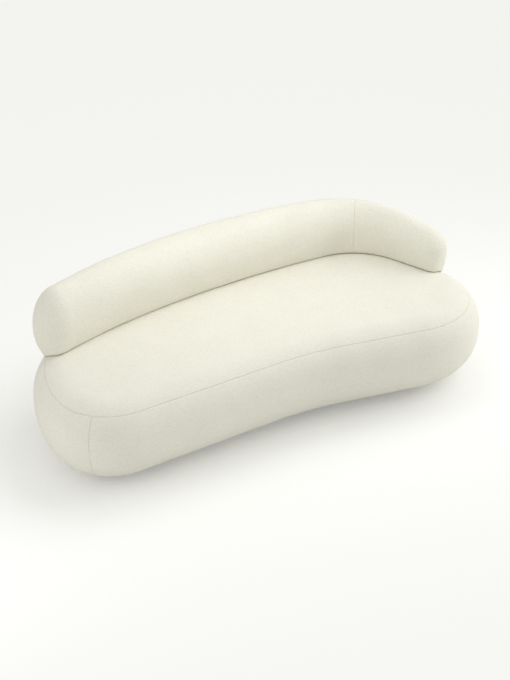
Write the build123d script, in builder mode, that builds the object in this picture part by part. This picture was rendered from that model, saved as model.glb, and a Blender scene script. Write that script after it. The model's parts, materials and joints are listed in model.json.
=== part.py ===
"""Kidney-shaped lounge sofa: a pebble seat on short wooden feet with a curled, tapering back bolster.

Millimetres, +Z up, +X along the length, -Y towards the sitter's feet. The origin lies on the floor
under the middle of the seat's outline.
"""

import os
from math import ceil

from build123d import *

# Seat: corners of the plan and the radius that rounds each one, from front left, clockwise from above
SEAT_CORNERS = [(-1133, -589), (-1120, 366), (-97, 567), (911, 524), (1145, -99), (1019, -601), (83, -469)]
SEAT_RADII = [295, 725, 2000, 530, 335, 430, 1500]
SEAT_TOP = 425.0
SEAT_FLOOR = 30.0
TOP_RADIUS = 158.0
SIDE_FLAT = 30.0
SEAM_DROP = 37.0
SEAM_CORNER = 0

# Back: corners of its centre line, the radius of its two bends, and its loaf-shaped section
SPINE_POINTS = [(-890, 160), (-161, 471), (856, 411), (1010, 8)]
SPINE_RADII = [3200, 370]
HALF_WIDTH_LEFT = 109.0
HALF_WIDTH_MIDDLE = 135.0
HALF_WIDTH_TAIL = 81.0
WIDEST_AT = 0.40
CREST_LEFT = 700.0
CREST = 700.0
CREST_TAIL = 605.0
CREST_AT = 0.60
TAIL_CURVE = 2.2
BELLY = 0.42
BACK_OVERHANG = 95.0
BACK_SEAM_AT = 0.80

# Soft layers
COVER = 3.0
WADDING = 12.0
FOAM_SLAB = 98.0
BACK_FOAM = 42.0
SOFT_RIM = 30.0
DUST_COVER_INSET = 215.0

# Seat frame
PLY = 18.0
SKIN = 4.0
FRAME_INSET = 75.0
FRAME_CHAMFER = 110.0
RING_WIDTH = 150.0
PANEL_INSET = 200.0
RIB_X = [-930, -620, -310, 0, 310, 620, 930]
BEAM_Y = [-150, 150]
TAB_LENGTH = 60.0
TAB_SETBACK = 30.0
WEB_X = [-775, -465, -155, 155, 465, 775]
WEB_Y = [-60, 60]
WEB_WIDTH = 60.0
WEB_THICKNESS = 2.0
WEB_LAP = 65.0

# Back frame
BACK_PLY = 15.0
FORMER_AT = [0.02, 0.18, 0.38, 0.56, 0.72, 0.87, 0.98]
RAIL_HALF_WIDTH = 16.0
RAIL_RISE = 45.0
BOLT_AT = [0.08, 0.25, 0.47, 0.64, 0.76]

# Feet and fixings
FOOT_POINTS = [(-760, -290), (-720, 30), (60, -190), (60, 280), (760, -300), (700, 235)]
FOOT_TOP_RADIUS = 42.0
FOOT_BOTTOM_RADIUS = 36.0
FOOT_EDGE = 2.0
GLIDE_RADIUS = 30.0
GLIDE = 3.0
BOLT_RADIUS = 4.0
BOLT_HEAD_RADIUS = 6.5
BOLT_HEAD = 5.3
BOLT_SPARE = 4.0
WASHER_RADIUS = 10.0
WASHER = 1.6
NUT_FLANGE_RADIUS = 11.0
NUT_FLANGE = 1.5
NUT_BARREL_RADIUS = 5.5
NUT_BARREL = 10.0

# Clearance between neighbours
FIT = 0.3

# Heights and insets that follow from the sizes above
CORNER_LAND = 10.0
BOTTOM_RADIUS = min(SEAT_TOP - SEAT_FLOOR - TOP_RADIUS - SIDE_FLAT, min(SEAT_RADII) - CORNER_LAND)
RIM_HEIGHT = SEAT_FLOOR + SOFT_RIM
WADDING_OUTER = COVER + FIT
WADDING_INNER = WADDING_OUTER + WADDING
FOAM_OUTER = WADDING_INNER + FIT
SLAB_BOTTOM = SEAT_TOP - FOAM_OUTER - FOAM_SLAB
RING_TOP = SLAB_BOTTOM - 2 * WEB_THICKNESS - FIT
RING_BOTTOM = RING_TOP - PLY
PANEL_BOTTOM = SEAT_FLOOR + COVER + FIT
PANEL_TOP = PANEL_BOTTOM + PLY
LAP_HEIGHT = (PANEL_TOP + RING_BOTTOM) / 2
FRAME_VOID_INSET = FRAME_INSET - SKIN - 2 * FIT
FRAME_VOID_CHAMFER = FRAME_CHAMFER + PANEL_TOP - SEAT_FLOOR + FRAME_INSET - FRAME_VOID_INSET - 2 * FIT
BACK_LOW = SEAT_TOP - BACK_OVERHANG
BOARD_BOTTOM = SEAT_TOP + 2 * FIT
BOARD_TOP = BOARD_BOTTOM + PLY
RAIL_BOTTOM = BOARD_TOP + RAIL_RISE
RAIL_TOP = RAIL_BOTTOM + PLY
SECTION_SPACING = 190.0
TALL = 2000.0
WIDE = 4000.0

with BuildLine() as seat_line:
    FilletPolyline(*SEAT_CORNERS, radius=SEAT_RADII, close=True)
middle = seat_line.line.bounding_box().center()
GROUND = Plane(origin=(-middle.X, -middle.Y, 0))

with BuildLine(GROUND) as spine_line:
    FilletPolyline(*SPINE_POINTS, radius=SPINE_RADII)
spine = spine_line.wire()

os.makedirs("parts", exist_ok=True)


def save(part, name):
    """Label a finished piece and write it."""
    part.label = name
    export_step(part, f"parts/{name}.step")


def outline_block(inset, low, high):
    """Upright block with the seat's outline, drawn in by inset."""
    with BuildPart() as block:
        with BuildSketch(GROUND.offset(low)):
            with BuildLine():
                FilletPolyline(*SEAT_CORNERS, radius=SEAT_RADII, close=True)
            make_face()
            if inset:
                offset(amount=-inset)
        extrude(amount=high - low)
    return block.part


def pebble(inset):
    """The seat's rounded form, drawn in by inset on every side."""
    with BuildPart() as form:
        add(outline_block(inset, SEAT_FLOOR + inset, SEAT_TOP - inset))
        fillet(form.faces().sort_by(Axis.Z)[-1].edges(), TOP_RADIUS - inset)
        fillet(form.faces().sort_by(Axis.Z)[0].edges(), BOTTOM_RADIUS - inset)
    return form.part


def chamfered_block(inset, low, high, chamfer_size):
    """Block with the seat's outline and a chamfer round its lower edge."""
    with BuildPart() as block:
        add(outline_block(inset, low, high))
        chamfer(block.faces().sort_by(Axis.Z)[0].edges(), chamfer_size)
    return block.part


def outline_ring(outer_inset, inner_inset, low, high):
    """Upright wall between two of the seat's drawn-in outlines."""
    with BuildPart() as wall:
        add(outline_block(outer_inset, low, high))
        add(outline_block(inner_inset, low, high), mode=Mode.SUBTRACT)
    return wall.part


def bored(part, points, radius):
    """A copy of part with upright clearance holes at the given plan points."""
    with BuildPart() as holed:
        add(part)
        with BuildSketch(GROUND):
            with Locations(*points):
                Circle(radius)
        extrude(amount=TALL, mode=Mode.SUBTRACT)
    return holed.part


def discs(points, radius, low, high, bore=0.0):
    """One round disc or shank at each plan point, with a bore if one is given."""
    with BuildPart() as group:
        with BuildSketch(GROUND.offset(low)):
            with Locations(*points):
                Circle(radius)
                if bore:
                    Circle(bore, mode=Mode.SUBTRACT)
        extrude(amount=high - low)
    return group.part


def tee_nuts(points, seat_height):
    """Tee nuts whose flanges lie on a board's upper face and whose barrels reach down into it."""
    bore = BOLT_RADIUS + FIT
    with BuildPart() as nuts:
        add(discs(points, NUT_FLANGE_RADIUS, seat_height, seat_height + NUT_FLANGE, bore))
        add(discs(points, NUT_BARREL_RADIUS, seat_height - NUT_BARREL, seat_height, bore))
    return nuts.part


# The back's section, by the fraction u of the way along its centre line
def half_width(u):
    """Half the back's thickness: full in the middle, a little less on the left, thin at the tail."""
    if u < WIDEST_AT:
        return HALF_WIDTH_MIDDLE - (HALF_WIDTH_MIDDLE - HALF_WIDTH_LEFT) * (1 - u / WIDEST_AT) ** 2
    t = (u - WIDEST_AT) / (1 - WIDEST_AT)
    return HALF_WIDTH_MIDDLE - (HALF_WIDTH_MIDDLE - HALF_WIDTH_TAIL) * t * t * (3 - 2 * t)


def crest(u):
    """Height of the back's top: highest past the middle, falling away along the tail."""
    if u < CREST_AT:
        return CREST - (CREST - CREST_LEFT) * (1 - u / CREST_AT) ** 2
    return CREST - (CREST - CREST_TAIL) * ((u - CREST_AT) / (1 - CREST_AT)) ** TAIL_CURVE


def section_plane(u):
    """Upright plane across the centre line: local x points to the rear, local y is height."""
    along = spine % u
    return Plane(origin=spine @ u, x_dir=Vector(0, 0, 1).cross(along), z_dir=along)


def half_loaf(u, inset, side):
    """Outline of half the section, on the given side: a quarter ellipse above its belly and one below."""
    w = half_width(u) - inset
    belly = SEAT_TOP + BELLY * (crest(u) - SEAT_TOP)
    rise = crest(u) - inset - belly
    drop = belly - BACK_LOW - inset
    upper = 0 if side > 0 else 90
    lower = 270 if side > 0 else 180
    EllipticalCenterArc((0, belly), w, rise, start_angle=upper, arc_size=90)
    EllipticalCenterArc((0, belly), w, drop, start_angle=lower, arc_size=90)


def loaf(inset):
    """The back's rounded form, drawn in by inset: a lofted run with a turned bullnose at each end."""
    spans = ceil(spine.length / SECTION_SPACING)
    with BuildPart() as body:
        for station in range(spans + 1):
            u = station / spans
            with BuildSketch(section_plane(u)):
                with BuildLine():
                    half_loaf(u, inset, 1)
                    half_loaf(u, inset, -1)
                make_face()
        loft()
        for u, turning in ((0, -1), (1, 1)):
            with BuildSketch(section_plane(u)):
                with BuildLine():
                    half_loaf(u, inset, -1)
                    Line((0, BACK_LOW + inset), (0, crest(u) - inset))
                make_face()
            revolve(axis=Axis(spine @ u, (0, 0, turning)), revolution_arc=180)
    return body.part


def plan_points(fractions):
    """Plan points on the back's centre line."""
    return [tuple(GROUND.to_local_coords(spine @ u))[:2] for u in fractions]


foot_points = FOOT_POINTS
bolt_points = plan_points(BOLT_AT)
bolt_bore = BOLT_RADIUS + 2 * FIT
nut_bore = NUT_BARREL_RADIUS + FIT

# Feet: turned wooden pads with a felt glide below and a threaded stud up into the bottom panel
foot_bottom = GLIDE
foot_slope = (FOOT_TOP_RADIUS - FOOT_BOTTOM_RADIUS) / (SEAT_FLOOR - foot_bottom)
stud_bottom = foot_bottom + 2 * GLIDE
for number, point in enumerate(foot_points, start=1):
    with BuildPart() as foot:
        with BuildSketch(GROUND.offset(foot_bottom)):
            with Locations(point):
                Circle(FOOT_BOTTOM_RADIUS)
        with BuildSketch(GROUND.offset(SEAT_FLOOR)):
            with Locations(point):
                Circle(FOOT_TOP_RADIUS)
        loft()
        chamfer(foot.faces().sort_by(Axis.Z)[0].edges(), FOOT_EDGE)
        with BuildSketch(GROUND.offset(stud_bottom - FIT)):
            with Locations(point):
                Circle(BOLT_RADIUS + FIT)
        extrude(amount=SEAT_FLOOR, mode=Mode.SUBTRACT)
    save(foot.part, f"foot_{number}")
save(discs(foot_points, GLIDE_RADIUS, 0, GLIDE), "felt_glides")
save(discs(foot_points, BOLT_RADIUS, stud_bottom, PANEL_TOP + BOLT_SPARE), "foot_studs")
save(tee_nuts(foot_points, PANEL_TOP), "foot_tee_nuts")

# Seat frame: bottom panel, egg-crate of ribs and beams, deck ring and a thin bent skin
core = chamfered_block(FRAME_INSET, PANEL_TOP, RING_BOTTOM, FRAME_CHAMFER)
panel = outline_block(PANEL_INSET, PANEL_BOTTOM, PANEL_TOP)
ring = outline_ring(FRAME_INSET, FRAME_INSET + RING_WIDTH, RING_BOTTOM, RING_TOP)

tab_points = []
for number, x in enumerate(RIB_X, start=1):
    with BuildPart() as rib:
        with BuildSketch(GROUND.offset(PANEL_TOP)):
            with Locations((x, 0)):
                Rectangle(PLY, WIDE)
        extrude(amount=RING_BOTTOM - PANEL_TOP)
        add(core, mode=Mode.INTERSECT)
        with BuildSketch(GROUND.offset(LAP_HEIGHT)):
            with Locations(*[(x, y) for y in BEAM_Y]):
                Rectangle(PLY, PLY + 2 * FIT)
        extrude(amount=RING_BOTTOM - LAP_HEIGHT, mode=Mode.SUBTRACT)
        reach = rib.part.bounding_box()
        tab_offset = TAB_SETBACK + TAB_LENGTH / 2
        tabs = [(x, reach.min.Y + middle.Y + tab_offset), (x, reach.max.Y + middle.Y - tab_offset)]
        with BuildSketch(GROUND.offset(RING_BOTTOM)):
            with Locations(*tabs):
                Rectangle(PLY, TAB_LENGTH)
        extrude(amount=PLY)
    save(rib.part, f"rib_{number}")
    tab_points += tabs

for name, y in zip(("front_beam", "rear_beam"), BEAM_Y):
    with BuildPart() as beam:
        with BuildSketch(GROUND.offset(PANEL_TOP)):
            with Locations((0, y)):
                Rectangle(WIDE, PLY)
        extrude(amount=RING_BOTTOM - PANEL_TOP)
        add(core, mode=Mode.INTERSECT)
        with BuildSketch(GROUND.offset(PANEL_TOP)):
            with Locations(*[(x, y) for x in RIB_X]):
                Rectangle(PLY + 2 * FIT, PLY)
        extrude(amount=LAP_HEIGHT - PANEL_TOP, mode=Mode.SUBTRACT)
    save(beam.part, name)

with BuildPart() as deck_ring:
    add(bored(ring, bolt_points, bolt_bore))
    with BuildSketch(GROUND.offset(RING_BOTTOM)):
        with Locations(*tab_points):
            Rectangle(PLY + 2 * FIT, TAB_LENGTH + 2 * FIT)
    extrude(amount=PLY, mode=Mode.SUBTRACT)
save(deck_ring.part, "deck_ring")
save(bored(panel, foot_points, nut_bore), "bottom_panel")
skin_inner = FRAME_INSET - FIT
skin_bottom = PANEL_TOP + FRAME_CHAMFER + SKIN + 2 * FIT
save(outline_ring(skin_inner - SKIN, skin_inner, skin_bottom, RING_TOP), "bent_side_skin")

# Elastic webbing across the deck ring's opening, in two layers
web_field = outline_block(FRAME_INSET + RING_WIDTH - WEB_LAP, RING_TOP, SLAB_BOTTOM)
straps = [((x, 0), (WEB_WIDTH, WIDE), 0, f"webbing_cross_{n}") for n, x in enumerate(WEB_X, start=1)]
straps += [((0, y), (WIDE, WEB_WIDTH), 1, f"webbing_long_{n}") for n, y in enumerate(WEB_Y, start=1)]
for place, size, layer, name in straps:
    with BuildPart() as strap:
        with BuildSketch(GROUND.offset(RING_TOP + layer * WEB_THICKNESS)):
            with Locations(place):
                Rectangle(*size)
        extrude(amount=WEB_THICKNESS)
        add(web_field, mode=Mode.INTERSECT)
    save(strap.part, name)

# Seat upholstery: foam slab and side foam, wadding, and a cover sewn from a top, two borders and a base
frame_void = chamfered_block(FRAME_VOID_INSET, SEAT_FLOOR, SLAB_BOTTOM, FRAME_VOID_CHAMFER)
foam_form = pebble(FOAM_OUTER)
with BuildPart() as foam_top:
    add(foam_form)
    split(bisect_by=Plane.XY.offset(SLAB_BOTTOM), keep=Keep.TOP)
save(bored(foam_top.part, bolt_points, bolt_bore), "seat_foam_slab")

with BuildPart() as foam_side:
    add(foam_form)
    add(frame_void, mode=Mode.SUBTRACT)
    split(bisect_by=Plane.XY.offset(SLAB_BOTTOM), keep=Keep.BOTTOM)
    split(bisect_by=Plane.XY.offset(RIM_HEIGHT), keep=Keep.TOP)
save(foam_side.part, "seat_foam_border")

with BuildPart() as wadding:
    add(pebble(WADDING_OUTER))
    add(pebble(WADDING_INNER), mode=Mode.SUBTRACT)
    split(bisect_by=Plane.XY.offset(RIM_HEIGHT), keep=Keep.TOP)
save(bored(wadding.part, bolt_points, bolt_bore), "seat_wadding")

with BuildPart() as cover:
    add(pebble(0))
    add(pebble(COVER), mode=Mode.SUBTRACT)
seam_height = SEAT_TOP - SEAM_DROP
with BuildPart() as cover_top:
    add(cover.part)
    split(bisect_by=Plane.XY.offset(seam_height), keep=Keep.TOP)
save(bored(cover_top.part, bolt_points, bolt_bore), "seat_cover_top")

with BuildPart() as border:
    add(cover.part)
    split(bisect_by=Plane.XY.offset(seam_height), keep=Keep.BOTTOM)
    add(outline_block(DUST_COVER_INSET, 0, PANEL_TOP), mode=Mode.SUBTRACT)
corner, before, after = [Vector(*SEAT_CORNERS[SEAM_CORNER + step]) for step in (0, -1, 1)]
halving = (before - corner).normalized() + (after - corner).normalized()
side_seam = Plane(origin=GROUND.from_local_coords(corner), z_dir=Vector(0, 0, 1).cross(halving))
for name, keep in (("seat_border_left", Keep.TOP), ("seat_border_right", Keep.BOTTOM)):
    with BuildPart() as border_side:
        add(border.part)
        split(bisect_by=side_seam, keep=keep)
    save(border_side.part, name)
dust_cover = outline_block(DUST_COVER_INSET + FIT, SEAT_FLOOR, SEAT_FLOOR + COVER)
save(bored(dust_cover, foot_points, nut_bore), "dust_cover")

# Back frame: a tapered base board, upright formers on it and a rail let through them
seat_form = pebble(-FIT)
back_form = loaf(0)
cover_void = loaf(COVER)
foam_void = loaf(COVER + BACK_FOAM)
with BuildPart() as board:
    with BuildSketch(Plane.XY.offset(BOARD_BOTTOM)):
        Rectangle(WIDE, WIDE)
    extrude(amount=PLY)
    add(foam_void, mode=Mode.INTERSECT)
save(bored(board.part, bolt_points, nut_bore), "back_base_board")

with BuildPart() as rail:
    with BuildSketch(GROUND.offset(RAIL_BOTTOM)):
        with BuildLine():
            FilletPolyline(*SPINE_POINTS, radius=SPINE_RADII)
        trace_width = 2 * RAIL_HALF_WIDTH
        trace(line_width=trace_width)
    extrude(amount=PLY)
save(rail.part, "back_rail")

for number, u in enumerate(FORMER_AT, start=1):
    across = section_plane(u)
    with BuildPart() as former:
        with BuildSketch(across.offset(-BACK_PLY / 2)):
            with Locations((0, (BOARD_TOP + TALL) / 2)):
                Rectangle(2 * half_width(u), TALL - BOARD_TOP)
        extrude(amount=BACK_PLY)
        add(foam_void, mode=Mode.INTERSECT)
        with BuildSketch(across.offset(-BACK_PLY)):
            with Locations((0, (RAIL_BOTTOM + RAIL_TOP) / 2)):
                Rectangle(trace_width + 6 * FIT, PLY + 2 * FIT)
        extrude(amount=2 * BACK_PLY, mode=Mode.SUBTRACT)
    save(former.part, f"back_former_{number}")

# Back upholstery: foam round the frame and a cover sewn from two lengths that meet at the bend
with BuildPart() as back_foam:
    add(cover_void)
    add(foam_void, mode=Mode.SUBTRACT)
    add(seat_form, mode=Mode.SUBTRACT)
save(back_foam.part, "back_foam")

with BuildPart() as back_cover:
    add(back_form)
    add(cover_void, mode=Mode.SUBTRACT)
    add(seat_form, mode=Mode.SUBTRACT)
bend_seam = section_plane(BACK_SEAM_AT)
for name, keep in (("back_cover_main", Keep.BOTTOM), ("back_cover_tail", Keep.TOP)):
    with BuildPart() as back_panel:
        add(back_cover.part)
        split(bisect_by=bend_seam, keep=keep)
    save(back_panel.part, name)

# Bolts that hold the back down on the deck ring, from below
with BuildPart() as bolts:
    add(discs(bolt_points, BOLT_RADIUS, RING_BOTTOM - WASHER, BOARD_TOP + BOLT_SPARE))
    with BuildSketch(GROUND.offset(RING_BOTTOM - WASHER)):
        with Locations(*bolt_points):
            RegularPolygon(BOLT_HEAD_RADIUS, side_count=6, major_radius=False)
    extrude(amount=-BOLT_HEAD)
save(bolts.part, "back_bolts")
washer_bore = BOLT_RADIUS + FIT
save(discs(bolt_points, WASHER_RADIUS, RING_BOTTOM - WASHER, RING_BOTTOM, washer_bore), "back_washers")
save(tee_nuts(bolt_points, BOARD_TOP), "back_tee_nuts")
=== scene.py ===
# %% [markdown]
# # A kidney-shaped lounge sofa
# The sofa has a thick pebble of a seat and a bolster back that follows the rear edge, thins out and
# curls round one end. Both are covered in cream bouclé. This lesson dresses the CAD frame: it keeps
# every hidden part as it is and makes the two soft forms anew, with their seams and their swell.

# %% Load the frame
import json

import bpy
import numpy as np
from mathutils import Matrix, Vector


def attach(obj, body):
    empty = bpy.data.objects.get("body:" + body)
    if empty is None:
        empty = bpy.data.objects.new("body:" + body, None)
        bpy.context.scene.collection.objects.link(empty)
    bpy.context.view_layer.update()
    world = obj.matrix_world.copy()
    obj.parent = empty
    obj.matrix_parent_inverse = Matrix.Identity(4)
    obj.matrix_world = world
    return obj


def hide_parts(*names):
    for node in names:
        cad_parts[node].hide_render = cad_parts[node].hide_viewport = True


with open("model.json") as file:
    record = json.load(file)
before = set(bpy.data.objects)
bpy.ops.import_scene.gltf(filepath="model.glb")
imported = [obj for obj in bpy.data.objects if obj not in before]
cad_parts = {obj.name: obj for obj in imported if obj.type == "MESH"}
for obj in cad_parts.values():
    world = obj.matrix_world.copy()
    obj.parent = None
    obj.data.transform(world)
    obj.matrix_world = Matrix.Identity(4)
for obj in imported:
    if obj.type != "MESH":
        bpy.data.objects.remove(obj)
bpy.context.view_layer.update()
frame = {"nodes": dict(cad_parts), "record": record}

# %% [markdown]
# ## Paths that a pattern cutter would draw
# The seat's outline and the back's centre line are both drawn as straight runs joined by round bends.
# Blender's curves could do this by hand. Here the heading is what we know exactly: it stays still on a
# run and turns steadily in a bend. Interpolating the heading and adding up small steps gives the path.

# %% Rounded paths
PATH_SAMPLES = 40001


def rounded_path(corners, radii, closed):
    """Lengths, points and headings of a path with round bends.

    Each bend cuts radius * tan(turn / 2) off its two runs and is radius * turn long. The heading is
    linear along every run and bend, and the points are the running sum of cos and sin of the heading.
    """
    corners = np.array(corners) / 1000
    edges = (np.roll(corners, -1, axis=0) - corners)[: None if closed else -1]
    lengths = np.hypot(edges[:, 0], edges[:, 1])
    headings = np.arctan2(edges[:, 1], edges[:, 0])
    turns = (np.roll(headings, -1) - headings + np.pi) % (2 * np.pi) - np.pi
    turns[-1] = turns[-1] if closed else 0
    radii = np.array(radii) / 1000
    radii = np.roll(radii, -1) if closed else np.append(radii, 0)
    cuts = radii * np.tan(np.abs(turns) / 2)
    runs = lengths - np.roll(cuts, 1) - cuts
    stops = np.cumsum(np.stack([runs, radii * np.abs(turns)], 1).ravel())
    swings = np.cumsum(np.stack([0 * turns, turns], 1).ravel())
    stops = np.append(0, stops)
    swings = headings[0] + np.append(0, swings)
    along_path = np.linspace(0, stops[-1], PATH_SAMPLES)
    step = along_path[1]
    heading = np.interp(along_path[:-1] + step / 2, stops, swings)
    points = np.zeros((PATH_SAMPLES, 2))
    points[1:] = np.cumsum(step * np.stack([np.cos(heading), np.sin(heading)], 1), axis=0)
    points += corners[0] + edges[0] / lengths[0] * cuts[-1]
    return along_path, points, np.interp(along_path, stops, swings)


def on_path(path, where):
    """Points and headings at the given lengths along a path."""
    lengths, points, headings = path
    spots = np.stack([np.interp(where, lengths, points[:, axis]) for axis in (0, 1)], -1)
    return spots, np.interp(where, lengths, headings)


SEAT_CORNERS = [(-1133, -589), (-1120, 366), (-97, 567), (911, 524), (1145, -99), (1019, -601), (83, -469)]
SEAT_RADII = [295, 725, 2000, 530, 335, 430, 1500]
SPINE_POINTS = [(-890, 160), (-161, 471), (856, 411), (1010, 8)]
SPINE_RADII = [3200, 370]

outline = rounded_path(SEAT_CORNERS, SEAT_RADII, closed=True)
spine = rounded_path(SPINE_POINTS, SPINE_RADII, closed=False)
plan_middle = (outline[1].min(axis=0) + outline[1].max(axis=0)) / 2
outline[1][:] -= plan_middle
spine[1][:] -= plan_middle
perimeter = outline[0][-1]
spine_length = spine[0][-1]
print(f"outline {perimeter:.3f} m round, centre line {spine_length:.3f} m long")

# %% [markdown]
# ## The seat as a surface of two parameters
# One parameter runs round the outline. The other climbs the section: a little way under the seat, up a
# large bottom rounding, a short upright, over the top rounding, and in across the flat top to a line in
# the middle. Because the rings shrink to a line and not to a point, the squares stay even on a long seat.

# %% The seat's form
SEAT_TOP = 0.425
SEAT_FLOOR = 0.0303
TOP_RADIUS = 0.158
SIDE_FLAT = 0.030
BOTTOM_RADIUS = SEAT_TOP - SEAT_FLOOR - TOP_RADIUS - SIDE_FLAT
UNDER_FLAT = 0.0075
TOP_REACH = 0.45
BOTTOM_ARC = BOTTOM_RADIUS * np.pi / 2
TOP_ARC = TOP_RADIUS * np.pi / 2
RISE = UNDER_FLAT + BOTTOM_ARC + SIDE_FLAT + TOP_ARC
TRIALS = 8001
MEDIAL = np.array([(-640, -75), (650, -45)]) / 1000 - plan_middle


def crossings(start, way, inset):
    """Lengths along the outline, moved in by an inset, at which it crosses a straight line.

    The sideways offset from the line is a cross product. It changes sign between two trial lengths, and
    the crossing divides their step in the ratio of the two offsets.
    """
    trial = np.linspace(0, perimeter, TRIALS)
    edge, heading = on_path(outline, trial)
    x, y = np.moveaxis(edge + inset * np.stack([np.sin(heading), -np.cos(heading)], -1) - start, -1, 0)
    off = x * way[1] - y * way[0]
    hit = np.flatnonzero(np.sign(off[1:]) != np.sign(off[:-1]))
    return trial[hit] + trial[1] * off[hit] / (off[hit] - off[hit + 1])


medial_way = MEDIAL[1] - MEDIAL[0]
tips = crossings(MEDIAL[0], medial_way, TOP_RADIUS)
tips = tips[np.argsort(on_path(outline, tips)[0][:, 0])]
left_tip, right_tip = tips
rear_length = (right_tip - left_tip) % perimeter
front_length = perimeter - rear_length


def medial(share):
    """The line along the middle of the top, straight between its two ends."""
    return MEDIAL[0] + share[..., None] * medial_way


print(f"seat section {RISE:.3f} m up its side, bottom rounding {BOTTOM_RADIUS * 1000:.0f} mm")

# %% The seat's surface
EDGE_SAMPLES = 1400
CHUNK = 2000


def seat_form(round_it, up_it):
    """Points and outward normals of the seat, for lengths round the outline and up the section.

    A section point is inset * inward + z. The insets and heights of the flats and roundings add up:
    R(1 - sin a) and R(1 - cos a) below, T(1 - cos b) and T sin b above. The normal leans by a + b - 90.
    """
    edge, heading = on_path(outline, (left_tip + round_it) % perimeter)
    inward = np.stack([np.sin(heading), -np.cos(heading)], -1)
    rear_share = round_it / rear_length
    front_share = (perimeter - round_it) / front_length
    centre = medial(np.where(round_it <= rear_length, rear_share, front_share))
    flat = np.clip(up_it, 0, UNDER_FLAT)
    below = np.clip(up_it - UNDER_FLAT, 0, BOTTOM_ARC) / BOTTOM_RADIUS
    side = np.clip(up_it - UNDER_FLAT - BOTTOM_ARC, 0, SIDE_FLAT)
    above = np.clip(up_it - UNDER_FLAT - BOTTOM_ARC - SIDE_FLAT, 0, TOP_ARC) / TOP_RADIUS
    inset = UNDER_FLAT - flat + BOTTOM_RADIUS * (1 - np.sin(below)) + TOP_RADIUS * (1 - np.cos(above))
    height = SEAT_FLOOR + BOTTOM_RADIUS * (1 - np.cos(below)) + side + TOP_RADIUS * np.sin(above)
    across = np.clip((up_it - RISE) / TOP_REACH, 0, 1)[:, None, None]
    plan = (1 - across) * (edge + inset[:, None, None] * inward) + across * centre
    lean = (below + above - np.pi / 2)[:, None, None]
    upright = np.ones(plan.shape[:2] + (1,))
    points = np.concatenate([plan, height[:, None, None] * upright], -1)
    outward = np.concatenate([-np.cos(lean) * inward, np.sin(lean) * upright], -1)
    return points, outward


def inset_depth(plan):
    """How far plan points lie inside the seat's outline: along the nearest outline point's normal."""
    edge, heading = on_path(outline, np.linspace(0, perimeter, EDGE_SAMPLES))
    inward = np.stack([np.sin(heading), -np.cos(heading)], -1)
    depth = np.empty(len(plan))
    for part in np.array_split(np.arange(len(plan)), 1 + len(plan) // CHUNK):
        away = plan[part, None] - edge
        nearest = np.argmin((away ** 2).sum(-1), axis=1)
        depth[part] = (away[np.arange(len(part)), nearest] * inward[nearest]).sum(-1)
    return depth


def seat_height(plan):
    """Height of the seat's upper surface: the flat top, or T - sqrt(T^2 - (T - depth)^2) below it."""
    short = np.clip(TOP_RADIUS - inset_depth(plan.reshape(-1, 2)), 0, TOP_RADIUS)
    drop = TOP_RADIUS - np.sqrt(TOP_RADIUS ** 2 - short ** 2)
    return (SEAT_TOP - drop).reshape(plan.shape[:-1])


print(f"seat {seat_height(MEDIAL[:1])[0]:.3f} m high in the middle")

# %% [markdown]
# ## The back as a surface of two parameters
# The back is a loaf section carried along the centre line, with a turned end at both ends. The section is
# an egg: a half ellipse above its belly and a deeper one below, which the seat cuts off. On a plain turned
# end the lower edge would leave the front early. On the real back it runs on nearly straight, so the front
# corner of both ends is squarer low down. One parameter walks round the back in plan: along the rear, round
# the tail, along the front and round the left end. The other climbs from the underside, over the lower edge
# and the belly, to the crown.

# %% The back's form
HALF_WIDTHS = (0.109, 0.135, 0.081)
WIDEST_AT = 0.40
CRESTS = (0.700, 0.700, 0.622)
CREST_AT = 0.60
TAIL_CURVE = 2.2
BELLY = 0.42
LEFT_BELLY = 0.30
LEFT_PART = 0.15
LEFT_STRETCH = 0.10
ROUNDNESS = 2.3
SQUARENESS = 4.2
SQUARE_AT = 0.55
BACK_OVERHANG = 0.095
BACK_LOW = SEAT_TOP - BACK_OVERHANG
SMALL = 0.001


def ease(x):
    """Smooth step from 0 to 1."""
    x = np.clip(x, 0, 1)
    return x * x * (3 - 2 * x)


def half_width(u):
    """Half the back's thickness: a parabola up to the widest place, then a smooth step to the tail."""
    left, most, tail = HALF_WIDTHS
    swell_left = (most - left) * np.clip(1 - u / WIDEST_AT, 0, 1) ** 2
    return most - swell_left - (most - tail) * ease((u - WIDEST_AT) / (1 - WIDEST_AT))


def crest(u):
    """Height of the crown: a parabola up to the highest place, then a power curve down to the tail."""
    left, most, tail = CRESTS
    rise = (most - left) * np.clip(1 - u / CREST_AT, 0, 1) ** 2
    fall = (most - tail) * np.clip((u - CREST_AT) / (1 - CREST_AT), 0, 1) ** TAIL_CURVE
    return most - rise - fall


def reach(angle, u, turn):
    """Half thickness in a direction: round behind, and a superellipse in the front corner of both ends.

    The superellipse is (|cos|^n + |sin|^n)^(-1/n). Its n grows from the belly down to the lower edge, so
    the end looks round while the edge on the seat runs on nearly straight and turns late.
    """
    n = ROUNDNESS + (SQUARENESS - ROUNDNESS) * ease(-np.sin(angle) / SQUARE_AT)
    corner = (np.abs(np.cos(turn)) ** n + np.abs(np.sin(turn)) ** n) ** (-1 / n)
    longer = 1 + LEFT_STRETCH * np.clip(-np.cos(turn), 0, 1) ** 2
    return half_width(u) * longer * np.where((turn < 0) & (turn > -np.pi), corner, 1)


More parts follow.
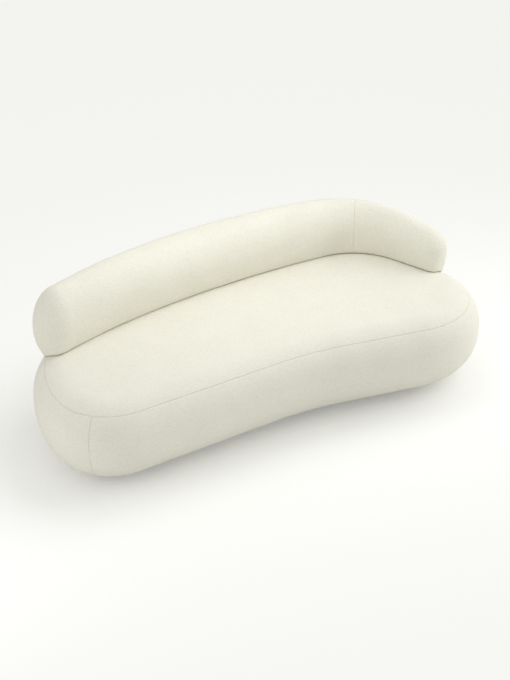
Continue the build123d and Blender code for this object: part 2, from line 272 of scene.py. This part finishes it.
def loaf(angle, u, turn):
    """Distance out from the centre line and height, at an angle up from the belly, and the two half axes.

    The point is (wide * cos a, belly + axis * sin a). The axis reaches up to the crown or down to the low.
    The belly sits lower at the left end, and the crown of a turned end keeps the slope of the run.
    """
    wide, high = reach(angle, u, turn), crest(u)
    share = BELLY + (LEFT_BELLY - BELLY) * (1 - ease(u / LEFT_PART))
    belly = SEAT_TOP + share * (high - SEAT_TOP)
    axis = np.where(angle > 0, high - belly, belly - BACK_LOW)
    out = wide * np.cos(angle)
    slope = (high - crest(u - SMALL)) / (SMALL * spine_length)
    onward = slope * out * np.cos(turn) * np.clip(np.sin(angle), 0, 1)
    return out, belly + axis * np.sin(angle) + onward, wide, axis


print("back:", [f"{half_width(u) * 2000:.0f} x {crest(u) * 1000:.0f} mm" for u in (0, 0.4, 0.6, 0.8, 1)])

# %% The back's surface
TUCK = 0.006
CLEAR = 0.0004
STEEPEST = 88
EDGE_TRIALS = 260
EVENED_SPAN = 3


def back_rays(u, turn):
    """Centre points and outward directions in plan, turned from the heading of the centre line."""
    centre, heading = on_path(spine, u * spine_length)
    return centre, np.stack([np.cos(heading + turn), np.sin(heading + turn)], -1)


def lower_edge(u, turn):
    """Angle below the belly at which the loaf first meets the seat, for each column."""
    centre, ray = back_rays(u, turn)
    angle = np.radians(np.linspace(0, -STEEPEST, EDGE_TRIALS))[:, None]
    out, height, _, _ = loaf(angle, u, turn)
    meets = height <= seat_height(centre + out[..., None] * ray) + CLEAR
    first = np.where(meets.any(axis=0), np.argmax(meets, axis=0), len(angle) - 1)
    return angle[first, 0]


def evened(values, span):
    """Running mean round a closed loop of columns."""
    return np.mean([np.roll(values, shift) for shift in range(-span, span + 1)], axis=0)


def back_form(u, turn, climb):
    """Points and outward normals of the back. climb is -1 below the centre, 0 at the edge, 1 at the crown.

    Above the edge, a point lies on the loaf, and the last stretch turns in by a quarter circle, the tuck.
    Below it, points run straight in to the centre line. No point lies lower than just over the seat.
    """
    centre, ray = back_rays(u, turn)
    meet = evened(lower_edge(u[:-1], turn[:-1]), EVENED_SPAN)
    meet = np.append(meet, meet[0])
    _, _, wide, axis = loaf(meet, u, turn)
    tuck = TUCK / np.hypot(wide * np.sin(meet), axis * np.cos(meet))
    upper = np.pi / 2 - meet - tuck
    down = (1 - np.clip(climb, 0, 1))[:, None] * (upper + tuck * np.pi / 2)
    bend = np.clip((down - upper) / tuck, 0, np.pi / 2)
    out, height, _, _ = loaf(np.pi / 2 - np.minimum(down, upper) - tuck * np.sin(bend), u, turn)
    out = out - TUCK * (1 - np.cos(bend))
    inside = np.clip(-climb, 0, 1)[:, None]
    out = out * (1 - inside)
    plan = centre + out[..., None] * ray
    floor = seat_height(plan) + CLEAR
    height = np.where(inside > 0, floor, np.maximum(height, floor))
    points = np.concatenate([plan, height[..., None]], -1)
    outward_run, upward_run = np.gradient(out, axis=0), np.gradient(height, axis=0)
    size = np.hypot(outward_run, upward_run)
    normals = [(upward_run / size)[..., None] * ray, (-outward_run / size)[..., None]]
    return points, np.concatenate(normals, -1)


print(f"lower edge tucked in by {TUCK * 1000:.0f} mm, {CLEAR * 1000:.1f} mm over the seat")

# %% [markdown]
# ## From a grid of points to a closed mesh
# A grid closes on itself where points coincide: at the start and end of a loop, on the line where two
# sides of the top meet, at the turned ends. Merging equal points in numpy welds all of these at once and
# also remembers which grid point became which vertex, which the simulation needs to read its result back.

# %% Welding and building
def weld(grid):
    """Vertices, faces and the vertex of every grid point. Squares that lose a corner become triangles."""
    rows, columns, _ = grid.shape
    flat = grid.reshape(-1, 3)
    _, first, vertex = np.unique(np.round(flat, 6), axis=0, return_index=True, return_inverse=True)
    ids = vertex.reshape(rows, columns)
    squares = np.stack([ids[:-1, :-1], ids[1:, :-1], ids[1:, 1:], ids[:-1, 1:]], -1).reshape(-1, 4)
    doubled = squares == np.roll(squares, 1, axis=1)
    whole = squares[doubled.sum(axis=1) == 0]
    pinched = doubled.sum(axis=1) == 1
    order = np.argsort(doubled[pinched], axis=1, kind="stable")[:, :3]
    triangles = np.take_along_axis(squares[pinched], order, axis=1)
    return flat[first], whole.tolist() + triangles.tolist(), vertex.ravel()


def build(name, form, moved):
    """A smooth mesh object, in place. The plain form is welded, and then its points are moved."""
    _, faces, vertex = weld(form)
    shared = np.bincount(vertex)
    vertices = np.stack([np.bincount(vertex, moved[..., k].ravel()) / shared for k in range(3)], 1)
    mesh = bpy.data.meshes.new(name)
    mesh.from_pydata(vertices.tolist(), [], faces)
    mesh.polygons.foreach_set("use_smooth", np.ones(len(faces), bool))
    mesh.update()
    piece = bpy.data.objects.new(name, mesh)
    bpy.context.scene.collection.objects.link(piece)
    print(f"{name}: {len(vertices)} points, {len(faces)} faces")
    return piece


SEAM_GROUP = np.array([0, 0.0006, 0.0016, 0.0032, 0.0056])
SEAM_ROOM = 0.7


def with_seams(length, step, seams):
    """Even stations along a length, with a tight group of them on both sides of every seam."""
    even = np.linspace(0, length, int(np.ceil(length / step)) + 1)
    near = np.concatenate([seam + np.append(SEAM_GROUP, -SEAM_GROUP[1:]) for seam in seams])
    clear = np.abs(even[:, None] - near).min(axis=1) > SEAM_ROOM * step
    return np.sort(np.concatenate([even[clear], near]))


print("grid helpers ready")

# %% [markdown]
# ## Swelling between the seams
# A cover is cut a little small and pulled over foam and wadding, so it stands full between its seams and
# dips along them. Cloth simulation shows how: a coarse copy of the surface is pinned along its seams and
# blown up from inside without gravity. We keep only how far it swells, as a number from 0 on a seam to 1
# on a full panel. The fine surface then reads that number smoothly and stays exact everywhere else.

# %% Cloth simulation of a cover
PRESSURE = 4.0
FRAMES = 20
FULL_SWELL = 0.012
SLACK = 0.004
SEAM_ROLL = 0.0045
SEAM_DEPTH = 0.75
HAND = 0.0003
VALLEY = 0.0022


def swollen(name, start, outward, pinned):
    """How full each grid point of a cover gets: tanh of its simulated way outwards over the full swell."""
    vertices, faces, vertex = weld(start)
    mesh = bpy.data.meshes.new(name)
    mesh.from_pydata(vertices.tolist(), [], faces)
    cover = bpy.data.objects.new(name, mesh)
    scene = bpy.context.scene
    scene.collection.objects.link(cover)
    sewn = cover.vertex_groups.new(name="sewn")
    sewn.add(np.unique(vertex[pinned.ravel()]).tolist(), 1.0, "REPLACE")
    cloth = cover.modifiers.new("cover cloth", "CLOTH")
    cloth.settings.vertex_group_mass = "sewn"
    cloth.settings.use_pressure = True
    cloth.settings.uniform_pressure_force = PRESSURE
    cloth.settings.effector_weights.gravity = 0
    for number in range(1, FRAMES + 1):
        scene.frame_set(number)
    moved = cover.evaluated_get(bpy.context.evaluated_depsgraph_get()).data
    places = np.empty(len(moved.vertices) * 3)
    moved.vertices.foreach_get("co", places)
    way = places.reshape(-1, 3)[vertex].reshape(start.shape) - start
    bpy.data.objects.remove(cover)
    bpy.data.meshes.remove(mesh)
    scene.frame_set(1)
    fullness = np.tanh(np.maximum((way * outward).sum(-1), 0) / FULL_SWELL)
    print(f"{name}: mean fullness {fullness.mean():.2f}, furthest {np.abs(way).max() * 1000:.1f} mm")
    return fullness


def smooth_weights(wanted, known):
    """Weights of a cubic B-spline that read values known at stations smoothly at other stations."""
    gap = np.abs(np.interp(wanted, known, np.arange(len(known)))[:, None] - np.arange(len(known)))
    near = 2 / 3 - gap ** 2 + gap ** 3 / 2
    far = np.clip(2 - gap, 0, 2) ** 3 / 6
    weights = np.where(gap < 1, near, far)
    return weights / weights.sum(axis=1, keepdims=True)


def groove(distance):
    """Depth of a plain seam: two rolled edges of one radius meet, r - sqrt(r^2 - (r - distance)^2)."""
    short = np.clip(SEAM_ROLL - np.abs(distance), 0, SEAM_ROLL)
    return SEAM_DEPTH * (SEAM_ROLL - np.sqrt(SEAM_ROLL ** 2 - short ** 2))


def hand(points):
    """Slight unevenness of hand upholstery, in metres: three long waves that never line up."""
    x, y, z = np.moveaxis(points, -1, 0)
    waves = np.sin(19 * x + 7 * y + 5 * z) + np.sin(-9 * x + 23 * y + 11 * z)
    return HAND * (waves + np.sin(31 * x - 13 * y + 17 * z))


print(f"cloth helpers ready, {FRAMES} frames")

# %% [markdown]
# ## The back's lower edge and the seat beside it
# The heavy back rests on a soft seat. Its lower edge turns in, and the seat dips under the back and
# towards the crease. We lay out the back first, because its underside is what presses on the seat.

# %% Columns and rows of the back
BACK_SEAM = 0.80
BACK_STEP = 0.011
FAN_COLUMNS = 30
END_SHARE = 0.15
TUCK_CLIMB = 0.12
UNDER_ROWS, TUCK_ROWS, LOAF_ROWS = 9, 11, 38


def back_columns(run):
    """Fractions along the centre line, turns from its heading, and stations round the back, closed."""
    fan = np.linspace(0, 1, FAN_COLUMNS)[1:-1]
    quarter = np.pi / 2
    side = np.full_like(run, quarter)
    u = np.concatenate([run, np.ones_like(fan), run[::-1], np.zeros_like(fan), run[:1]])
    turn = np.concatenate([side, quarter - np.pi * fan, -side, -quarter - np.pi * fan, side[:1]])
    tail = 1 + END_SHARE * fan
    front = 1 + END_SHARE + 1 - run[::-1]
    left = 2 + END_SHARE + END_SHARE * fan
    return u, turn, np.concatenate([run, tail, front, left, [2 + 2 * END_SHARE]])


back_run = with_seams(spine_length, BACK_STEP, [BACK_SEAM * spine_length]) / spine_length
back_u, back_turn, back_station = back_columns(back_run)
tuck_rows = np.linspace(0, TUCK_CLIMB, TUCK_ROWS)[:-1]
loaf_rows = np.linspace(TUCK_CLIMB, 1, LOAF_ROWS)
back_climb = np.concatenate([np.linspace(-1, 0, UNDER_ROWS)[:-1], tuck_rows, loaf_rows])
back_points, back_out = back_form(back_u, back_turn, back_climb)
underside = back_points[back_climb <= 0]
print(f"back grid {back_points.shape[:2]}, lower edge down to {underside[-1, :, 2].min():.3f} m")

# %% Swell and build the back
COARSE_COLUMNS, COARSE_UNDER, COARSE_ROWS = 106, 5, 24
SEWN_WITHIN = 0.005

coarse_u, coarse_turn, coarse_station = back_columns(np.linspace(0, 1, COARSE_COLUMNS))
coarse_climb = np.concatenate([np.linspace(-1, 0, COARSE_UNDER)[:-1], np.linspace(0, 1, COARSE_ROWS)])
start, start_out = back_form(coarse_u, coarse_turn, coarse_climb)
sewn_here = (coarse_climb[:, None] <= 0) | (np.abs(coarse_u - BACK_SEAM) < SEWN_WITHIN)
fullness = swollen("back_swell", start - SLACK * start_out, start_out, sewn_here)
fullness = smooth_weights(back_climb, coarse_climb) @ fullness
fullness = fullness @ smooth_weights(back_station, coarse_station).T
sunk = VALLEY * (1 - fullness) + groove((back_u - BACK_SEAM) * spine_length) - hand(back_points)
sunk *= ease(back_climb / TUCK_CLIMB)[:, None]
bolster = build("back_bolster", back_points, back_points - sunk[..., None] * back_out)
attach(bolster, "root")
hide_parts("back_cover_main", "back_cover_tail", "back_foam")

# %% [markdown]
# ## The seat's cover
# A seam runs right round the top edge, halfway up the rounding, and two upright seams close the border,
# one at the front left corner and one in the middle of the rear. The rows and columns crowd together at
# the seams, so that a groove a few millimetres wide has points of its own, while wide panels stay light.

# %% Seams of the seat
SEAM_ANGLE = 50
SEAM_RISE = RISE - TOP_ARC + TOP_RADIUS * np.radians(SEAM_ANGLE)
SEAM_CORNER = 0
ROUND_STEP = 0.012
UP_STEP = 0.010
TOP_ROWS = 44


def both_ways(share):
    """Lengths round the outline at the same shares of its rear and of its front, closed."""
    return np.concatenate([share * rear_length, perimeter - share[-2::-1] * front_length])


corner, before, after = [np.array(SEAT_CORNERS[SEAM_CORNER + step]) / 1000 for step in (0, -1, 1)]
halving = (before - corner) / np.linalg.norm(before - corner)
halving = halving + (after - corner) / np.linalg.norm(after - corner)
side_seams = np.sort((crossings(corner - plan_middle, halving, 0) - left_tip) % perimeter)
is_rear = side_seams < rear_length
seam_shares = np.where(is_rear, side_seams / rear_length, (perimeter - side_seams) / front_length)
seat_round = both_ways(with_seams(rear_length, ROUND_STEP, seam_shares * rear_length) / rear_length)
seat_up = with_seams(RISE, UP_STEP, [SEAM_RISE])
seat_up = np.concatenate([seat_up, RISE + np.linspace(0, TOP_REACH, TOP_ROWS)[1:]])
seat_points, seat_out = seat_form(seat_round, seat_up)
print(f"seat grid {seat_points.shape[:2]}, upright seams at {np.round(side_seams, 3).tolist()} m")

# %% Swell and build the seat
COARSE_ROUND, BORDER_ROWS, EDGE_ROWS, COARSE_TOP = 141, 27, 7, 24
LIP_EASE = 0.07
DIP_DEPTH = 0.003
DIP_REACH = 0.03
COVER_THICKNESS = 0.0025

coarse_round = both_ways(np.linspace(0, 1, COARSE_ROUND))
border_rows = np.linspace(0, SEAM_RISE, BORDER_ROWS)
edge_rows = np.linspace(SEAM_RISE, RISE, EDGE_ROWS)[1:]
top_rows = RISE + np.linspace(0, TOP_REACH, COARSE_TOP)[1:]
coarse_up = np.concatenate([border_rows, edge_rows, top_rows])
start, start_out = seat_form(coarse_round, coarse_up)
sewn_up = np.isin(coarse_up, [0, SEAM_RISE])[:, None]
nearest_column = np.abs(coarse_round - side_seams[:, None]).argmin(axis=1)
sewn_side = np.isin(np.arange(len(coarse_round)), nearest_column) & (coarse_up < SEAM_RISE)[:, None]
fullness = swollen("seat_swell", start - SLACK * start_out, start_out, sewn_up | sewn_side)
fullness = smooth_weights(seat_up, coarse_up) @ fullness @ smooth_weights(seat_round, coarse_round).T
side_gap = np.abs(seat_round - side_seams[:, None]).min(axis=0)
top_groove = groove(seat_up - SEAM_RISE)[:, None]
side_groove = groove(side_gap) * (seat_up < SEAM_RISE)[:, None]
sunk = VALLEY * (1 - fullness) + np.maximum(top_groove, side_groove) - hand(seat_points)
sunk *= ease(seat_up / LIP_EASE)[:, None]


def pressed(plan, weight):
    """How far the seat dips under and beside the back: depth * exp(-distance / reach)."""
    dip = np.empty(plan.shape[:-1])
    for row, points in enumerate(plan):
        away = np.hypot(*np.moveaxis(points[:, None] - weight, -1, 0)).min(axis=1)
        dip[row] = DIP_DEPTH * np.exp(-away / DIP_REACH)
    return dip


seat_moved = seat_points - sunk[..., None] * seat_out
dip = pressed(seat_points[..., :2], underside[:, ::4, :2].reshape(-1, 2))
seat_moved[..., 2] -= np.where(seat_out[..., 2] > 0, dip, 0)
seat = build("seat_cushion", seat_points, seat_moved)
wall = seat.modifiers.new("cover thickness", "SOLIDIFY")
wall.thickness = COVER_THICKNESS
wall.offset = -1
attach(seat, "root")
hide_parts("seat_cover_top", "seat_border_left", "seat_border_right", "seat_wadding")

# %% [markdown]
# ## Sums with sockets
# A material is a sum over the surface. Written as nodes it sprawls, so one small class wraps a socket and
# lets Python's own operators add the Math nodes. Every other node comes from its one method `node`.

# %% A socket that can be reckoned with
class Flow:
    """A socket in a material. Plus, minus and times add Math nodes, and node adds any other node."""

    def __init__(self, tree, socket):
        self.tree = tree
        self.socket = socket

    def node(self, kind, settings, sockets, out=0):
        """A new node: its settings first, then the values or links of its sockets. Gives one output."""
        made = self.tree.nodes.new(kind)
        for name, value in settings.items():
            setattr(made, name, value)
        for key, value in sockets.items():
            if isinstance(value, Flow):
                self.tree.links.new(value.socket, made.inputs[key])
            else:
                made.inputs[key].default_value = value
        return Flow(self.tree, made.outputs[out])

    def math(self, operation, first, second):
        """A Math node on two flows or numbers."""
        return self.node("ShaderNodeMath", {"operation": operation}, {0: first, 1: second})

    def __add__(self, other):
        return self.math("ADD", self, other)

    def __sub__(self, other):
        return self.math("SUBTRACT", self, other)

    def __rsub__(self, other):
        return self.math("SUBTRACT", other, self)

    def __mul__(self, other):
        return self.math("MULTIPLY", self, other)

    __radd__ = __add__
    __rmul__ = __mul__

    def tint(self, low, high):
        """A colour between two, by this flow."""
        sockets = {0: self, 6: (*low, 1), 7: (*high, 1)}
        return self.node("ShaderNodeMix", {"data_type": "RGBA"}, sockets, out=2)

    def stretched(self, scale):
        """This flow as a place, stretched by a scale along each axis."""
        return self.node("ShaderNodeMapping", {}, {"Vector": self, "Scale": scale})

    def noise(self, scale, detail=2.0, out="Fac"):
        """Soft noise at this place."""
        return self.node("ShaderNodeTexNoise", {}, {"Vector": self, "Scale": scale, "Detail": detail}, out)

    def cells(self, scale):
        """Distance from the middle of the nearest of many scattered cells."""
        sockets = {"Vector": self, "Scale": scale, "Smoothness": 0.35}
        return self.node("ShaderNodeTexVoronoi", {"feature": "SMOOTH_F1"}, sockets, "Distance")

    def bump(self, distance, strength=1.0):
        """A normal raised by this flow."""
        sockets = {"Height": self, "Distance": distance, "Strength": strength}
        return self.node("ShaderNodeBump", {}, sockets, "Normal")


def new_finish(name):
    """An empty material, its shader, and the place on the piece as a flow."""
    finish = bpy.data.materials.new(name)
    finish.use_nodes = True
    tree = finish.node_tree
    place = Flow(tree, tree.nodes.new("ShaderNodeTexCoord").outputs["Object"])
    return finish, tree.nodes["Principled BSDF"], place


def set_shader(shader, **values):
    """Link or set the shader's sockets by name, with spaces as underscores."""
    for name, value in values.items():
        socket = shader.inputs[name.replace("_", " ")]
        if isinstance(value, Flow):
            value.tree.links.new(value.socket, socket)
        else:
            socket.default_value = value


print("shader helpers ready")

# %% [markdown]
# ## Bouclé
# Bouclé is woven from looped yarn: small round nubs stand close together, with shaded dips between
# them. Modelling each loop would take millions of faces. Two sizes of scattered cells, pushed about by
# noise so that they lose their roundness, give the height for a bump and a painted shade, darker in the
# dips.

# %% The cover cloth
# Painted shade: the dip tint is the cream darkened as if shaded between the nubs, and the nub tint is the
# plain cream.
SHADED_DIP_TINT = (0.735, 0.716, 0.612)
LIT_NUB_TINT = (0.915, 0.905, 0.818)
NUBS_PER_METRE = 210
CURLS_PER_METRE = 520
WANDER = 0.006


def boucle():
    """Cream bouclé: nubs and curls as scattered cells at places that noise has pushed about, with painted
    shade in the dips.
    """
    finish, shader, place = new_finish("cream boucle")
    push = {0: place.noise(120, 2, "Color"), 1: (WANDER, WANDER, WANDER), 2: place}
    pushed = place.node("ShaderNodeVectorMath", {"operation": "MULTIPLY_ADD"}, push)
    nub = 1 - 1.3 * pushed.cells(NUBS_PER_METRE)
    curl = 1 - 1.3 * pushed.cells(CURLS_PER_METRE)
    height = 0.7 * nub + 0.3 * curl
    patchy = place.noise(7, 3)
    # Painted shade: the colour follows the nub height, so the dips come out darker. The soft patches add
    # random tone.
    shade = 0.75 * height + 0.25 * patchy
    set_shader(
        shader,
        Base_Color=shade.tint(SHADED_DIP_TINT, LIT_NUB_TINT),
        Roughness=0.95,
        Normal=height.bump(0.0012, 0.6),
        Sheen_Weight=0.15,
        Sheen_Roughness=0.5,
    )
    return finish


cover_finish = boucle()
for piece in (seat, bolster):
    piece.data.materials.append(cover_finish)
print("cover:", cover_finish.name)

# %% [markdown]
# ## The parts below and inside
# The feet, their glides and the dust cover can be seen from below, and the frame, foam and fixings when the
# model is opened. They stay as CAD nodes, and each gets the finish that its slot in the record names.

# %% Wood, cloth, foam and steel
def grained(name, low, high, scale, roughness):
    """Wood: noise drawn out along the grain, tinted between two browns."""
    finish, shader, place = new_finish(name)
    grain = place.stretched(scale).noise(1.0, 6)
    pores = place.stretched([3 * value for value in scale]).noise(2.0, 2)
    figure = 0.7 * grain + 0.3 * pores
    set_shader(shader, Base_Color=figure.tint(low, high), Roughness=roughness, Normal=figure.bump(0.0002))
    return finish


def speckled(name, low, high, scale, roughness, depth):
    """Foam, felt and fleece: fine cells and noise, tinted between two tones."""
    finish, shader, place = new_finish(name)
    pores = 0.6 * place.cells(scale) + 0.4 * place.noise(0.4 * scale)
    set_shader(shader, Base_Color=pores.tint(low, high), Roughness=roughness, Normal=pores.bump(depth))
    return finish


def woven(name, low, high, pitch):
    """Webbing and base cloth: crossing waves of thread."""
    finish, shader, place = new_finish(name)
    sockets = {"Vector": place, "Scale": pitch}
    waves = [{"wave_type": "BANDS", "bands_direction": axis} for axis in "XY"]
    warp, weft = [place.node("ShaderNodeTexWave", wave, sockets, "Fac") for wave in waves]
    thread = 0.5 * warp + 0.5 * weft
    set_shader(shader, Base_Color=thread.tint(low, high), Roughness=0.9, Normal=thread.bump(0.0004))
    return finish


def plated(name):
    """Zinc-plated steel: bright metal with cloudy roughness."""
    finish, shader, place = new_finish(name)
    cloud = place.noise(400, 3)
    tone = cloud.tint((0.55, 0.56, 0.58), (0.72, 0.73, 0.75))
    set_shader(shader, Base_Color=tone, Metallic=1.0, Roughness=0.3 + 0.25 * cloud)
    return finish


finishes = {
    "cover_boucle": cover_finish,
    "foot_wood": grained("stained beech", (0.10, 0.05, 0.025), (0.27, 0.15, 0.075), (25, 220, 220), 0.45),
    "plywood": grained("plywood", (0.48, 0.32, 0.17), (0.70, 0.53, 0.33), (12, 90, 160), 0.7),
    "foam": speckled("cut foam", (0.66, 0.62, 0.42), (0.86, 0.83, 0.66), 700, 0.95, 0.0006),
    "wadding": speckled("fleece", (0.80, 0.80, 0.78), (0.95, 0.95, 0.93), 160, 1.0, 0.002),
    "felt": speckled("pressed felt", (0.12, 0.11, 0.10), (0.24, 0.22, 0.20), 900, 1.0, 0.0004),
    "base_cloth": woven("base cloth", (0.010, 0.010, 0.010), (0.030, 0.029, 0.028), 320),
    "webbing": woven("webbing", (0.020, 0.018, 0.016), (0.065, 0.058, 0.050), 180),
    "zinc_steel": plated("zinc plate"),
}
for part in frame["record"]["subparts"]:
    data = frame["nodes"][part["node"]].data
    data.materials.clear()
    data.materials.append(finishes[part["material_slot"]])
print("finishes:", ", ".join(finishes))

# %% [markdown]
# ## Floor, light and camera
# The photo has a near-white floor with a soft shadow that falls to the left. The seat's top and the face of
# the back are bright and the front of the seat is dim, so the main lamp hangs low over the seat: it lights
# the back's face, but the front turns away from it. Weaker lamps fill both ends, and a wide distant one on
# the right throws the shadow. Where the camera looks at the floor itself, part of its colour is a glow.
# That keeps the floor evenly pale and leaves the shadow, and adds no light to the sofa.

# %% The floor
FLOOR_REACH = 40.0
GLOW = 0.21
PALE = (0.895, 0.895, 0.880)
SEEN_SHARE = 0.9


def seen_rays(tree):
    """1 for rays that show a surface straight, mirrored or through glass, and 0 for bounced light."""
    paths = tree.nodes.new("ShaderNodeLightPath").outputs
    straight = Flow(tree, paths["Is Camera Ray"])
    mirrored = Flow(tree, paths["Is Glossy Ray"])
    through = Flow(tree, paths["Is Transmission Ray"])
    return straight.math("MAXIMUM", straight.math("MAXIMUM", straight, mirrored), through)


def pale_floor():
    """A square at floor level, matt, with a glow for rays that show it."""
    corners = FLOOR_REACH * np.array([(-1, -1, 0), (1, -1, 0), (1, 1, 0), (-1, 1, 0)])
    mesh = bpy.data.meshes.new("pale_floor")
    mesh.from_pydata(corners.tolist(), [], [(0, 1, 2, 3)])
    floor = bpy.data.objects.new("pale_floor", mesh)
    bpy.context.scene.collection.objects.link(floor)
    finish, shader, _ = new_finish("pale floor")
    seen = seen_rays(finish.node_tree)
    dimmed = [SEEN_SHARE * value for value in PALE]
    glow = [GLOW * value / PALE[0] for value in PALE]
    set_shader(
        shader,
        Base_Color=seen.tint(PALE, dimmed),
        Roughness=1.0,
        Specular_IOR_Level=0.0,
        Emission_Color=seen.tint((0, 0, 0), glow),
        Emission_Strength=1.0,
    )
    mesh.materials.append(finish)
    return floor


pale_floor()
print(f"floor {2 * FLOOR_REACH:.0f} m wide")

# %% The lamps and the world
WORLD_LIGHT = 0.72
BACKGROUND = (0.939, 0.939, 0.922, 1)


def lamp(name, kind, place, aim, energy, **shape):
    """A lamp at a place, turned so that it shines at its aim, and out of the camera's sight."""
    light = bpy.data.lights.new(name, kind)
    light.energy = energy
    for key, value in shape.items():
        setattr(light, key, value)
    holder = bpy.data.objects.new(name, light)
    holder.visible_camera = False
    holder.location = place
    holder.rotation_euler = (Vector(aim) - Vector(place)).to_track_quat("-Z", "Y").to_euler()
    bpy.context.scene.collection.objects.link(holder)
    print(f"lamp {name}: {energy} at {place}")


over = {"shape": "RECTANGLE", "size": 1.9, "size_y": 0.7}
lamp("over the seat", "AREA", (0.25, 0.0, 1.5), (0.25, 0.0, 0), 4.6, **over)
lamp("right end", "AREA", (2.4, -0.9, 0.9), (0.9, -0.2, 0.25), 5.0, size=1.0)
lamp("left end", "AREA", (-2.3, -0.5, 0.8), (-0.9, -0.2, 0.25), 3.2, size=1.0)
lamp("from the right", "SUN", (4.0, 0.0, 3.0), (0, 0, 0), 0.9, angle=np.radians(60))

world = bpy.data.worlds.new("studio")
world.use_nodes = True
bpy.context.scene.world = world
sky = world.node_tree.nodes["Background"]
seen = seen_rays(world.node_tree)
set_shader(sky, Color=BACKGROUND, Strength=WORLD_LIGHT + (1 - WORLD_LIGHT) * seen)
bpy.context.scene.view_settings.view_transform = "Standard"

# %% The camera
IMAGE_HEIGHT = 680
FOCAL_PIXELS = 1454
SHIFT_PIXELS = (4.65, -5.46)
SENSOR_HEIGHT = 36
CAMERA_AT = (-2.8900, -5.2291, 3.5497)
RIGHT = (0.87565, -0.48296, 0.0)
UP = (0.23073, 0.41834, 0.87850)

camera = bpy.data.cameras.new("view")
camera.sensor_fit = "VERTICAL"
camera.sensor_height = SENSOR_HEIGHT
camera.lens = FOCAL_PIXELS * SENSOR_HEIGHT / IMAGE_HEIGHT
camera.shift_x, camera.shift_y = [pixels / IMAGE_HEIGHT for pixels in SHIFT_PIXELS]
viewer = bpy.data.objects.new("view", camera)
axes = np.eye(4)
axes[:3, 0] = RIGHT
axes[:3, 1] = UP
axes[:3, 2] = np.cross(RIGHT, UP)
axes[:3, 3] = CAMERA_AT
viewer.matrix_world = axes.T.tolist()
bpy.context.scene.collection.objects.link(viewer)
bpy.context.scene.camera = viewer
print(f"lens {camera.lens:.1f} mm")
